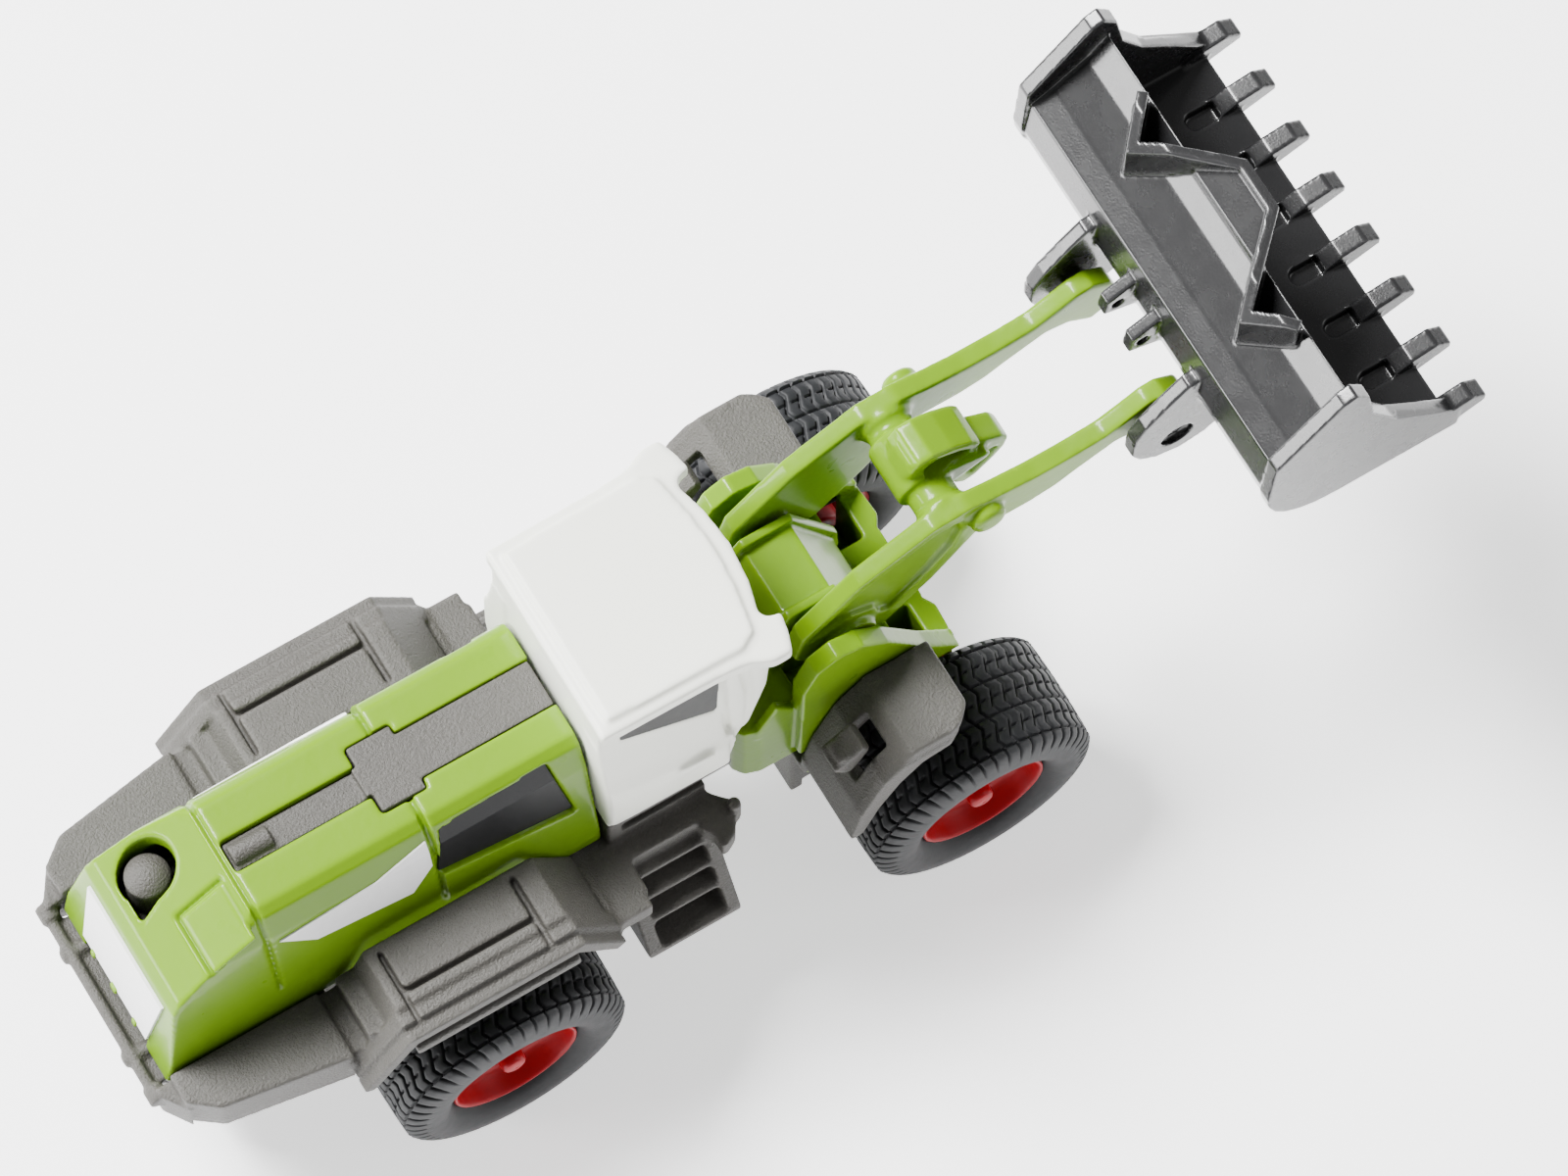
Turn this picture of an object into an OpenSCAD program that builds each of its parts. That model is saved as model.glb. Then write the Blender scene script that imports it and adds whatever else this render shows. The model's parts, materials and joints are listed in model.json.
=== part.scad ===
/* [Wheels] */
// Distance between the front and rear axles
wheelbase = 38.5; // [36:0.5:41]
// Outer diameter of a tyre
tyre_d = 18.1; // [17.4:0.1:18.8]
// Width of a tyre
tyre_w = 9.6; // [9:0.1:10]
// Width of the machine over its tyres
over_tyres = 33.4; // [33:0.1:34]
// Diameter of a rim
rim_d = 10; // [9:0.1:10.6]
// Diameter of the steel axles
axle_d = 2; // [1.6:0.1:2.2]
// Radial play of every running pin or axle
play = 0.05; // [0.02:0.01:0.08]

/* [Rear body] */
// Rear overhang, from the rear axle to the tips of the tow pins
rear_overhang = 24.4; // [24:0.1:25]
// Height of the hood's flat top
hood_top = 34; // [33:0.1:34.6]
// Half width of the hood at its foot
hood_half = 7.4; // [7.2:0.1:7.5]
// Height of the top of the rear mudguards
guard_top = 25; // [24.4:0.1:25.4]
// Half width over the rear mudguards
guard_half = 14.9; // [14.5:0.1:15.2]
// Wall of the castings and mouldings
wall = 1.2; // [1:0.1:1.4]

/* [Cab] */
// Height of the cab roof
roof_top = 41.2; // [40.5:0.1:42]
// Underside of the cab shell
cab_floor = 23; // [22.8:0.1:23.4]
// Half width of the cab at the doors
cab_half = 8.4; // [8.2:0.1:8.6]

/* [Steering] */
// Distance of the steering pin in front of the rear axle
steer_x = 19.5; // [19:0.1:20]
// Diameter of the steering pin
steer_pin_d = 2.4; // [2:0.1:2.6]

/* [Loader] */
// Lift pivot, in front of the rear axle
lift_x = 33.2; // [33:0.1:33.6]
// Lift pivot above the ground
lift_z = 26.6; // [26.2:0.1:27]
// Bucket pin in front of the lift pivot, arms raised
arm_reach = 25.3; // [25:0.1:25.6]
// Bucket pin above the lift pivot, arms raised
arm_rise = 8.6; // [8.2:0.1:9]
// Inner face of each loader arm, from the centre plane
arm_in = 3.9; // [3.8:0.1:4]
// Thickness of a loader arm
arm_t = 1.5; // [1.4:0.1:1.6]
// Diameter of the lift pin
lift_pin_d = 2.2; // [2:0.1:2.4]
// Diameter of the bucket pins
bucket_pin_d = 1.8; // [1.6:0.1:2]

/* [Bucket] */
// Width of the bucket over its cheeks
bucket_w = 33.2; // [32.8:0.1:33.6]
// Tooth tips in front of the bucket pin
tooth_reach = 19; // [18.8:0.1:19.4]
// Number of teeth
teeth = 8; // [8]
// Width of a tooth
tooth_w = 1.5; // [1.3:0.1:1.7]

/* [Hidden] */

green = "yellowgreen";
dark = "dimgray";
eps = 0.01;
fine = 48;
total_l = rear_overhang + lift_x + arm_reach + tooth_reach;
rear_x = rear_overhang - total_l / 2;
front_x = rear_x + wheelbase;
axle_z = tyre_d / 2;
tyre_in = over_tyres / 2 - tyre_w;
hub_out = over_tyres / 2 - 0.5;
arm_out = arm_in + arm_t;
ear_in = arm_out + 0.7;
ear_out = ear_in + 1.1;
pin_x = lift_x + arm_reach;
pin_z = lift_z + arm_rise;
side_wall = bucket_w / 2;
frame_half = 6.8;
tower_in = 6.3;
tower_out = 7.8;
pin_end = tower_out - 0.5;

// Frame whose x starts at the rear axle
module body_frame() {
    translate([rear_x, 0, 0]) children();
}

// Frame at the lift pivot
module lift_frame() {
    translate([rear_x + lift_x, 0, lift_z]) children();
}

// Frame at the bucket pin
module pin_frame() {
    translate([rear_x + pin_x, 0, pin_z]) children();
}

// Outline in the side view, [x, z] points, from y0 to y1
module side_plate(y0, y1) {
    translate([0, y1, 0]) rotate([90, 0, 0]) linear_extrude(y1 - y0) children();
}

// Outline in the front view, [y, z] points, from x0 to x1
module cross_plate(x0, x1) {
    translate([x0, 0, 0]) rotate([90, 0, 90]) linear_extrude(x1 - x0) children();
}

// Outline in the plan view, from z0 to z1
module plan_plate(z0, z1) {
    translate([0, 0, z0]) linear_extrude(z1 - z0) children();
}

// Round bar across the machine
module cross_bar(x, z, d, y0, y1) {
    translate([x, y1, z]) rotate([90, 0, 0]) cylinder(d = d, h = y1 - y0, $fn = fine);
}

// The same shape on both sides
module both_sides() {
    for (side = [0, 1]) mirror([0, side, 0]) children();
}

// Box given by its two corners
module block(low, high) {
    translate(low) cube(high - low);
}

// ---- rear body ----

deck_z = 19.6;
quarter_z = 21.4;

module fender_outline() {
    polygon([[-11, 19.4], [-11, 21], [-9.4, 21], [-9.4, 22.8], [-8, 22.8], [-7.1, guard_top],
             [6.3, guard_top], [9.4, 20.6], [9.4, 18.4], [8.2, 18.4], [8.2, 20],
             [5.6, guard_top - wall], [-6.4, guard_top - wall], [-8.6, 20.6], [-10, 19.4]]);
}

module flare_outline(drop) {
    polygon([[-11.2, 19.6 - drop], [-7.3, guard_top - drop], [6.5, guard_top - drop],
             [9.8, 20.4 - drop], [9.0, 19.8 - drop], [5.9, guard_top - wall - drop],
             [-6.7, guard_top - wall - drop], [-10.4, 19.0 - drop]]);
}

module quarter() {
    plan_plate(17.8, quarter_z)
        polygon([[-22.4, hood_half + 0.2], [-22.4, 9.9], [-20.4, 11.5], [-10.8, 13],
                 [-10.8, hood_half + 0.2]]);
    plan_plate(15.8, 17.9)
        polygon([[-22.2, 4], [-22.2, 9.6], [-20.2, 11.1], [-10.8, 12.6], [-10.8, 4]]);
    plan_plate(16.6, 20.2)
        polygon([[-23.6, 7.6], [-23.6, 8.2], [-22.2, 10.3], [-22.2, 7.6]]);
}

// Framed boarding ladder, sunk into the edge of the deck
module ladder_frame() {
    cross_plate(11.9, 19.4)
        polygon([[8.6, deck_z], [10.1, deck_z], [14.3, 11.2], [14.3, 10.4], [9.8, 10.4],
                 [8.6, 12]]);
}

module ladder_recess() {
    cross_plate(13, 18.4)
        polygon([[9.9, deck_z + 1], [9.9, 15], [10.7, 11.2], [15, 11.2], [15, deck_z + 1]]);
    plan_plate(17.4, deck_z + 1)
        polygon([[18.3, 10.4], [19, 11.3], [19, 16], [18.3, 16]]);
}

module ladder_steps() {
    for (step = [0:2]) {
        reach = 10.75 + 1.03 * step;
        top = 17.9 - 2 * step;
        cross_plate(12.9, 18.5)
            polygon([[9.6, top], [reach, top], [reach + 0.2, top - 0.3], [reach, top - 0.6],
                     [9.6, top - 0.6]]);
    }
}

module rear_chassis() {
    color(dark) body_frame() difference() {
        union() {
            block([-20.8, -6, 6], [12.6, 6, 19.4]);
            block([-22.6, -6.9, 13], [-20.6, 6.9, 18.6]);
            both_sides() quarter();
            both_sides() side_plate(hood_half + 0.3, 12.7) fender_outline();
            both_sides() side_plate(12.6, 13.8) flare_outline(0.35);
            both_sides() side_plate(13.7, guard_half) flare_outline(0.9);
            both_sides() block([-11, 5.8, 17.2], [-10, 12.9, 19.8]);
            both_sides() block([9, 5.8, 16.6], [10, 13.9, 19.8]);
            both_sides() block([9.4, 5.8, 17.8], [12.7, 13.6, deck_z]);
            deck_and_ladder();
            both_sides() ladder_steps();
            both_sides() block([12.8, 6.4, 19], [20.1, 8.15, 20.7]);
            bumper();
            cab_tray();
            translate([steer_x, 0, 16.6]) cylinder(r = 3.6, h = 2.8, $fn = fine);
            translate([steer_x, 0, 7.6]) cylinder(r = 3.6, h = 2.8, $fn = fine);
            block([12, -3.6, 16.6], [steer_x, 3.6, 19.4]);
            block([12, -3.6, 7.6], [steer_x, 3.6, 10.4]);
        }
        cross_bar(0, axle_z, axle_d + 2 * play, -7, 7);
        translate([steer_x, 0, 7]) cylinder(d = steer_pin_d, h = 13, $fn = fine);
        translate([-12, 0, 5]) cylinder(r = 1.2, h = 4, $fn = fine);
    }
}

module deck_and_ladder() {
    difference() {
        union() {
            nose();
            both_sides() ladder_frame();
        }
        both_sides() ladder_recess();
    }
}

// The deck stays clear of the front frame's corners at full lock
module nose() {
    both_sides() plan_plate(17.6, deck_z)
        polygon([[12.6, 7.9], [20.05, 7.9], [20.1, 8.2], [20.9, 9.15], [21.6, 9.8],
                 [20.3, 11.9], [19.4, 12.4], [12.6, 12.4]]);
    both_sides() translate([21.2, 10.2, 17.6]) cylinder(d = 1, h = 2.9, $fn = fine);
}

module bumper() {
    cross_bar(-23.7, 19, 0.9, -7.2, 7.2);
    both_sides() cross_bar(-23.6, 19, 1.5, 7, 8.3);
    both_sides() block([-23.7, 7.6, 18.3], [-22, 8.2, 19.6]);
    both_sides() translate([-rear_overhang, 4.35, 18.7]) rotate([0, 90, 0])
        cylinder(d = 1.1, h = 2.4, $fn = 24);
    block([-23.4, -6.9, 17.9], [-22.4, 6.9, 18.7]);
}

module cab_tray() {
    both_sides() block([12.2, 5, 19], [13.4, cab_half - 0.2, cab_floor]);
    block([12.2, -cab_half + 0.2, cab_floor - 0.8], [22.2, cab_half - 0.2, cab_floor]);
    block([12, -5, 19], [13.4, 5, cab_floor]);
}

// ---- hood ----

slope_run = 7.2;
slope_fall = 5;
ridge_x = -20.4;
hood_front = 12;

module hood_section(grow) {
    h = hood_half + grow;
    polygon([[-h, 18], [-h, 21.5], [-h + 0.9, 27], [-h + 1.6, 31.2], [-h + 2.5, 33.4 + grow],
             [-h + 3.3, hood_top + grow], [h - 3.3, hood_top + grow], [h - 2.5, 33.4 + grow],
             [h - 1.6, 31.2], [h - 0.9, 27], [h, 21.5], [h, 18]]);
}

module hood_profile(grow) {
    polygon([[-22.6 - grow, 19], [ridge_x - 0.4 - grow, hood_top - slope_fall - 0.7],
             [ridge_x + 0.2 - grow, hood_top - slope_fall + 0.2 + grow],
             [ridge_x + slope_run - grow / 2, hood_top + grow], [hood_front, hood_top + grow],
             [hood_front, 20], [-21, 20], [-21.2, 19]]);
}

module hood_body() {
    intersection() {
        cross_plate(-24, hood_front) hood_section(0);
        side_plate(-9, 9) hood_profile(0);
    }
    intersection() {
        cross_plate(0.1, hood_front) hood_section(0.25);
        side_plate(-9, 9) hood_profile(0.25);
    }
}

module tear_outline() {
    translate([-17.5, 3]) circle(r = 2.1, $fn = fine);
    polygon([[-19.5, 3.6], [-19.4, 0.3], [-16.2, 1.4]]);
}

module strip_outline(gap) {
    translate([-12.6 - gap, -1.1 - gap]) square([12, 2.2 + 2 * gap]);
    translate([-2 - gap, -2.6 - gap]) square([3.4 + 2 * gap, 5.2 + 2 * gap]);
    translate([1 - gap, -1.8 - gap]) square([11.5, 3.6 + 2 * gap]);
}

module grille_outline(gap) {
    polygon([[0.9 - gap, 33 + gap], [9.2 + gap, 33.4 + gap], [10.4 + gap, 26.3 - gap],
             [0 - gap, 27.8 - gap]]);
}

module hood() {
    color(green) body_frame() difference() {
        hood_body();
        intersection() {
            cross_plate(-21.2, hood_front - 1) offset_section();
            side_plate(-9, 9)
                polygon([[-21.2, 18], [-19.8, 27.4], [-13, hood_top - wall - 0.4],
                         [hood_front + 1, hood_top - wall - 0.4], [hood_front + 1, 18]]);
        }
        plan_plate(26, 40) tear_outline();
        plan_plate(32, 40) strip_outline(0.1);
        groove(-13);
        groove(0);
        both_sides() grille_pocket(0.1);
        panel_groove();
        plan_plate(18, 21) polygon([[-30, -4.2], [-21.4, -4.2], [-21.4, 4.2], [-30, 4.2]]);
    }
}

module offset_section() {
    h = hood_half - wall;
    polygon([[-h, 17], [-h, 21.5], [-h + 0.9, 27], [-h + 1.6, 30.8], [-h + 3, 32.4],
             [h - 3, 32.4], [h - 1.6, 30.8], [h - 0.9, 27], [h, 21.5], [h, 17]]);
}

module groove(x) {
    difference() {
        cross_plate(x - 0.2, x + 0.2) hood_section(0.5);
        cross_plate(x - 0.3, x + 0.3) hood_section(-0.3);
        block([x - 1, -20, 17], [x + 1, 20, 24]);
    }
}

module grille_pocket(gap) {
    intersection() {
        difference() {
            cross_plate(-1, 11.5) hood_section(0.5);
            cross_plate(-2, 12) hood_section(-0.45);
        }
        side_plate(2, 9) grille_outline(gap);
    }
}

module panel_groove() {
    fall = atan2(slope_fall, slope_run);
    translate([-15.6, -3.4, hood_top - 1.75]) rotate([0, -fall, 0]) difference() {
        translate([-2.3, -2.5, -0.3]) cube([4.6, 5, 2]);
        translate([-2, -2.2, -0.5]) cube([4, 4.4, 3]);
    }
}

module hood_insert() {
    color(dark) body_frame() {
        difference() {
            plan_plate(hood_top - 1.9, hood_top + 0.1) strip_outline(0);
            block([-13, -1.2, hood_top - 0.5], [-2.4, 1.2, hood_top + 1]);
            block([hood_front - 0.1, -3, 30], [hood_front + 2, 3, 36]);
        }
        intersection() {
            translate([-12.4, 0, hood_top - 0.6]) rotate([0, 90, 0])
                cylinder(r = 0.85, h = 3, $fn = fine);
            block([-13, -1.05, hood_top - 1.5], [-9, 1.05, hood_top + 0.5]);
        }
        plan_plate(29.6, hood_top - 1.85) translate([-12.6, -1]) square([23.2, 2]);
        plan_plate(25, 26.2) translate([-19, -1]) square([9, 5.4]);
        translate([-11.5, -1, 26]) cube([1.5, 2, 4]);
        translate([-17.5, 3, 25.5]) cylinder(r = 1.65, h = 4.3, $fn = fine);
        intersection() {
            translate([-17.5, 3, 28.6]) sphere(r = 2.05, $fn = fine);
            translate([-17.5, 3, 28]) cylinder(r = 1.65, h = 4, $fn = fine);
        }
    }
}

module rear_panel() {
    lean = atan2(1.8, 9.3);
    color("whitesmoke") body_frame() translate([-21.62, 0, 24.2]) rotate([0, lean, 0])
        translate([-0.22, 0, 0]) cross_plate(0, 0.24)
            polygon([[-4.4, -3.4], [4.4, -3.4], [5.1, 3.4], [-5.1, 3.4]]);
}

module side_grille() {
    intersection() {
        difference() {
            cross_plate(-1, 11.5) hood_section(-0.12);
            cross_plate(-2, 12) hood_section(-0.45);
        }
        side_plate(2, 9) grille_outline(0);
    }
}

module side_stripe() {
    intersection() {
        difference() {
            cross_plate(-14, 0) hood_section(0.12);
            cross_plate(-15, 1) hood_section(0);
        }
        side_plate(3, 9)
            polygon([[-12.2, 30.6], [-4.6, 31.2], [-0.4, 32.4], [-0.4, 29.4], [-2.2, 27.2],
                     [-9.6, 28.2]]);
    }
}

module side_grille_left() {
    color("black") body_frame() side_grille();
}

module side_grille_right() {
    color("black") body_frame() mirror([0, 1, 0]) side_grille();
}

module side_stripe_left() {
    color("white") body_frame() side_stripe();
}

module side_stripe_right() {
    color("white") body_frame() mirror([0, 1, 0]) side_stripe();
}

// ---- cab ----

module cab_outline(inset) {
    polygon([[12.1 + inset, cab_floor], [12.1 + inset, 39.4], [26.2 - inset, 39.4],
             [25.6 - inset, 32.4], [24.2 - inset, 26.6], [22.4 - inset, cab_floor]]);
}

module cab_section(inset) {
    h = cab_half - inset;
    polygon([[-h, cab_floor - 1], [-h, 31], [-h + 0.8, 39.6 - inset], [h - 0.8, 39.6 - inset],
             [h, 31], [h, cab_floor - 1]]);
}

module cab_body(inset) {
    intersection() {
        side_plate(-9, 9) cab_outline(inset);
        cross_plate(10, 30) cab_section(inset);
    }
}

module roof_plan() {
    polygon([[12.2, -7.9], [21.6, -8.2], [24.4, -8.4], [25.6, -9], [26.6, -8.8], [26.4, -5.4],
             [27, -3], [27.2, 0], [27, 3], [26.4, 5.4], [26.6, 8.8], [25.6, 9], [24.4, 8.4],
             [21.6, 8.2], [12.2, 7.9]]);
}

module side_window() {
    polygon([[13.8, 38.3], [21.8, 38.4], [21.3, 34.2], [13.8, 37.6]]);
}

module cab_shell() {
    color("white") body_frame() {
        difference() {
            cab_body(0);
            cab_body(0.9);
            translate([0, 0, cab_floor - 3]) block([12.6, -7.4, 0], [22, 7.4, 4]);
            side_plate(-9, 9) side_window();
            cross_plate(22, 28)
                polygon([[-6.4, 28], [6.4, 28], [6, 38.4], [-6, 38.4]]);
        }
        plan_plate(39.2, 40.8) roof_plan();
        plan_plate(40.7, roof_top)
            polygon([[13.3, -7.1], [24.6, -7.6], [25.8, -3], [26, 0], [25.8, 3], [24.6, 7.6],
                     [13.3, 7.1]]);
    }
}

module cab_glazing() {
    color([0.2, 0.2, 0.2, 0.8]) body_frame() difference() {
        intersection() {
            cab_body(0.95);
            block([13, -9, 26], [28, 9, 39.1]);
        }
        intersection() {
            cab_body(1.5);
            block([13, -9, 25], [28, 9, 40]);
        }
        block([13, -6, 25], [14.5, 6, 38]);
    }
}

module operator_seat() {
    color(dark) body_frame() {
        block([14.4, -2.6, cab_floor], [19, 2.6, cab_floor + 3]);
        block([14.4, -2.4, cab_floor + 2.9], [15.6, 2.4, cab_floor + 9]);
        block([20.4, -1.2, cab_floor], [21.4, 1.2, cab_floor + 5]);
        block([18.9, -1, cab_floor], [20.5, 1, cab_floor + 0.8]);
    }
}

// ---- front body ----

module front_frame() {
    color(green) body_frame() difference() {
        union() {
            both_sides() tower();
            housing();
            plan_plate(13, 21.4)
                polygon([[29, -7], [29, 7], [25.4, 7], [24.2, 6.6], [23.6, 5.8], [23.6, -5.8],
                         [24.2, -6.6], [25.4, -7]]);
            block([29.3, -frame_half, 6.2], [41.2, frame_half, 13.4]);
            block([28, -frame_half, 13.2], [37.6, frame_half, 18.8]);
            block([37.2, -2.9, 13.2], [41, 2.9, 18]);
            front_wall();
            translate([steer_x, 0, 10.8]) cylinder(r = 3.6, h = 5.4, $fn = fine);
            block([steer_x, -3.2, 10.8], [25, 3.2, 16.2]);
        }
        both_sides() block([37.6, 3, 11.6], [39.7, frame_half + 1, 18]);
        cross_bar(wheelbase, axle_z, axle_d + 2 * play, -7, 7);
        cross_bar(lift_x, lift_z, lift_pin_d, -pin_end - 0.1, pin_end + 0.1);
        translate([steer_x, 0, 10]) cylinder(d = steer_pin_d + 2 * play, h = 7, $fn = fine);
        translate([31, 0, 5]) cylinder(r = 1.2, h = 4, $fn = fine);
    }
}

// The foot follows the tyre, and everything wide stays above it
module tower() {
    side_plate(tower_in, tower_out)
        polygon([[28, 14.6], [28.2, 26.6], [29.3, 29.4], [31, 30.4], [33, 29.9], [35.1, 27.8],
                 [38.4, 22.3], [41.3, 18.6], [38.5, 18.6], [36, 18.5], [33.6, 17.6],
                 [31.6, 16], [30.3, 14.6]]);
    side_plate(tower_in, 7)
        polygon([[25, 20], [25, 21.4], [26.6, 24.4], [28.4, 21.8], [28.4, 20]]);
}

module housing() {
    side_plate(-3.4, 3.4)
        polygon([[28, 13.2], [28, 26], [29.6, 29], [33.4, 29.2], [36.9, 21.9], [37.5, 18.6],
                 [37.5, 13.2]]);
    both_sides() side_plate(2.7, 3.4)
        polygon([[28.4, 28], [29.6, 29.8], [33.6, 29.9], [37.4, 22.3], [37.5, 20], [36, 22],
                 [32, 28]]);
}

module front_wall() {
    plan_plate(13.2, 18)
        polygon([[39.6, -frame_half], [41.3, -frame_half], [41.5, -4], [40.8, -2.8],
                 [40.9, 0], [40.8, 2.8], [41.5, 4], [41.3, frame_half], [39.6, frame_half]]);
    both_sides() block([39.8, tower_in, 17.6], [41.2, frame_half, 19]);
}

module front_mudguards() {
    color(dark) body_frame() difference() {
        union() {
            both_sides() guard_shell();
            both_sides() side_plate(tower_out + 0.1, 9)
                polygon([[29.6, 14.2], [30, 20.4], [32.4, 23], [38.2, 23.6], [38.2, 19.6],
                         [35.6, 19], [33, 17.8], [31, 15.6]]);
            both_sides() lamp();
            block([28, -6.4, 4.2], [42.4, 6.4, 6.2]);
            block([28, -frame_half, 4.2], [29, frame_half, 12.8]);
            block([28, -8.4, 11.9], [29, 8.4, 12.8]);
            both_sides() block([28, tower_out + 0.1, 12.7], [29, 8.4, 14.6]);
        }
        translate([31, 0, 4]) cylinder(r = 1.2, h = 3, $fn = fine);
    }
}

module guard_shell() {
    side_plate(tower_out + 0.1, 14.9)
        polygon([[38.2, 23.6], [38.2, 24.4], [33, 24.2], [30.6, 21.8], [28.8, 17.6], [28, 13.8],
                 [28.7, 13.6], [29.8, 17.2], [31.4, 20.9], [33.4, 23]]);
    side_plate(14.2, 14.9)
        polygon([[38.2, 22.8], [38.2, 24.4], [33, 24.2], [30.6, 21.8], [28.8, 17.6], [28, 13.8],
                 [29.1, 13.8], [30.4, 17.4], [32, 20.2], [33.8, 22]]);
}

module lamp() {
    translate([30.4, 11.4, 21.6]) rotate([0, -38, 0]) translate([-1.5, -1.1, -1])
        cube([3, 2.2, 3]);
}

// ---- loader ----

module arm_outline() {
    polygon([[-4.3, 0.4], [-3.6, 3.3], [1, 7.8], [6.8, 10.8], [9.6, 11.1], [12, 10.6],
             [15, 10.2], [17.4, 10.2], [20.5, 10.5], [22.3, 11.4], [23.9, 12.3], [25.2, 12.4],
             [26.8, 11.2], [arm_reach + 2, arm_rise + 1], [arm_reach, arm_rise - 2.2],
             [arm_reach - 2, arm_rise - 0.6], [21.5, 8.4], [19.6, 7.6], [18.3, 7.1],
             [16.7, 6.3], [14.5, 5.9], [10.4, 6], [9, 4.2], [7, 1.7], [3.2, -2], [0.6, -2.6],
             [-3, -1.6]]);
}

module loader_arms() {
    color(green) lift_frame() difference() {
        union() {
            both_sides() side_plate(arm_in, arm_out) arm_outline();
            both_sides() cross_bar(0, 0, 5.2, arm_in, arm_out);
            both_sides() cross_bar(0, 0, 4.4, arm_in, arm_out + 0.6);
            both_sides() cross_bar(arm_reach, arm_rise, 5, arm_in, arm_out);
            both_sides() cross_bar(arm_reach, arm_rise, 4.2, arm_in, arm_out + 0.4);
            cross_bar(8.4, 9, 3.6, -arm_in - eps, arm_in + eps);
            cross_bar(8.4, 9, 4.6, -1.9, 2.4);
            both_sides() cross_bar(10.8, 9, 2.7, arm_out - eps, arm_out + 1);
            bellcrank();
        }
        cross_bar(0, 0, lift_pin_d + 2 * play, -8, 8);
        cross_bar(arm_reach, arm_rise, bucket_pin_d, -8, 8);
    }
}

module bellcrank() {
    side_plate(-1.1, 1.1)
        polygon([[6.6, 10.8], [7.4, 13], [9.4, 13], [12.6, 10.4], [15, 8.6], [15.4, 7.4],
                 [14.3, 5.6], [13, 3.9], [11.4, 3.9], [10.6, 6.6]]);
    side_plate(-1.5, 1.9) polygon([[7, 10.8], [7.8, 13.2], [9.2, 13.4], [12, 11], [11, 9]]);
}

module lift_pin() {
    color("silver") lift_frame() cross_bar(0, 0, lift_pin_d, -pin_end, pin_end);
}

module bucket_pins() {
    color("silver") pin_frame() both_sides()
        cross_bar(0, 0, bucket_pin_d, arm_in, ear_out - 0.6);
}

// ---- bucket ----

back_x = 1.2;
curve_r = 5.5;
bevel_z = 10.4;
lip_x = 7.6;
lip_z = 15;
floor_z = 1.1;
edge_x = 16.2;

// The outer teeth stand just inside the cheeks' outer faces
function tooth_y(i) = (i - (teeth - 1) / 2) * (bucket_w - tooth_w - 0.1) / (teeth - 1);

module bucket_outer() {
    c = [back_x + curve_r, floor_z + curve_r];
    polygon(concat([for (a = [180:15:270]) c + curve_r * [cos(a), sin(a)]],
                   [[edge_x - 1, floor_z], [edge_x, floor_z + 1.6], [edge_x, 30],
                    [lip_x, lip_z + 0.3], [lip_x - 0.3, lip_z], [5.9, 13.4], [3.3, 11.4],
                    [back_x + 0.4, bevel_z]]));
}

module bucket_inner() {
    r = curve_r - wall;
    c = [back_x + curve_r, floor_z + curve_r + 0.4];
    polygon(concat([for (a = [180:15:270]) c + r * [cos(a), sin(a)]],
                   [[edge_x + 2, floor_z + wall + 0.4], [edge_x + 2, 32],
                    [lip_x + 0.4, lip_z + 1.4], [lip_x + 0.4, lip_z - 0.9], [6.4, 12.4],
                    [3.9, 10.4], [back_x + wall + 0.2, bevel_z - 0.6]]));
}

module cheek_outline() {
    c = [back_x + curve_r, floor_z + curve_r];
    polygon(concat([for (a = [180:15:270]) c + (curve_r + 0.2) * [cos(a), sin(a)]],
                   [[edge_x + 0.6, floor_z - 0.2], [edge_x + 0.6, floor_z + 2.2], [14.4, 5.6],
                    [11.2, 8.8], [9, 12.6], [8.3, 16.4], [7.2, lip_z + 2.8], [6.2, lip_z + 2.4],
                    [back_x + 0.1, bevel_z + 1.4]]));
}

module tooth(y) {
    translate([0, y, 0]) side_plate(-tooth_w / 2, tooth_w / 2)
        polygon([[edge_x - 3.4, floor_z + 0.2], [edge_x - 3.4, floor_z + 0.8],
                 [edge_x - 0.4, floor_z + 2.6], [edge_x + 1.6, floor_z + 3], [tooth_reach, floor_z + 2.1],
                 [tooth_reach, floor_z + 1.4], [edge_x, floor_z + 0.2]]);
}

module ear() {
    side_plate(ear_in, ear_out)
        polygon([[-3.7, 0.6], [-3.6, 2.8], [-2.8, 4.4], [-1, 6.5], [0.5, 8],
                 [back_x + 0.6, 8.2], [back_x + 2, 2.6], [4.6, -0.4], [2.4, -2.2], [0.4, -2.7],
                 [-1.6, -2.1], [-3, -0.9]]);
}

module lugs() {
    both_sides() side_plate(1.1, 2.1)
        polygon([[back_x + 0.5, 8.8], [-0.9, 7.4], [-1.1, 5.6], [back_x + 0.5, 4.4]]);
}

module guard_plan() {
    polygon([[7.2, 9.75], [4.95, 7.2], [10.2, 2.05], [10.2, -2.05], [4.95, -7.2],
             [7.2, -9.75], [6.6, -10.25], [3.85, -7.2], [9.4, -1.7], [9.4, 1.7],
             [3.85, 7.2], [6.6, 10.25]]);
}

module guard_web() {
    polygon([[3.9, 7.2], [9.8, 1.7], [9.8, -1.7], [3.9, -7.2], [3.2, 0]]);
}

module spill_guard() {
    intersection() {
        plan_plate(10, 18) guard_plan();
        side_plate(-12, 12)
            polygon([[2, 9.9], [3.6, 10.9], [6.1, 12.9], [lip_x, lip_z - 0.2], [10.6, 17],
                     [10.6, 17.4], [6, 17], [3.6, 15.4], [2, 14]]);
    }
    intersection() {
        plan_plate(10, 18) guard_web();
        side_plate(-8, 8)
            polygon([[lip_x - 0.4, lip_z - 0.6], [lip_x - 0.4, lip_z + 0.3], [10, 17.1],
                     [10, 16.4]]);
    }
}

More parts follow.
